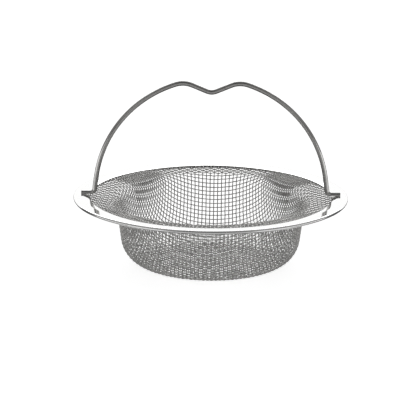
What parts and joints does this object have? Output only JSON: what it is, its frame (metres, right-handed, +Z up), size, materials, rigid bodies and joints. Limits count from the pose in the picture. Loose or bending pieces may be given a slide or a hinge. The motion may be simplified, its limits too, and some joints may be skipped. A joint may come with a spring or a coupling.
{
  "type": "sink strainer",
  "caption": "Drop-in sink strainer: a woven wire cup held in a flat folded rim, with a fixed arched wire handle to lift it out of the drain.",
  "frame": {"origin": "centre of the basket's floor, on its underside", "axes": "+Z up along the basket's axis; X lies in the plane of the handle, Y passes under its arch"},
  "size_m": [0.114, 0.114, 0.0773],
  "materials": {
    "polished_sheet": "mirror polished stainless sheet",
    "cloth_wire": "bright drawn stainless wire, woven",
    "handle_wire": "bright drawn stainless wire"
  },
  "bodies": {
    "root": {"folded_rim": "polished_sheet", "warp_wires": "cloth_wire", "weft_wires": "cloth_wire", "bail_handle": "handle_wire"}
  },
  "joints": []
}
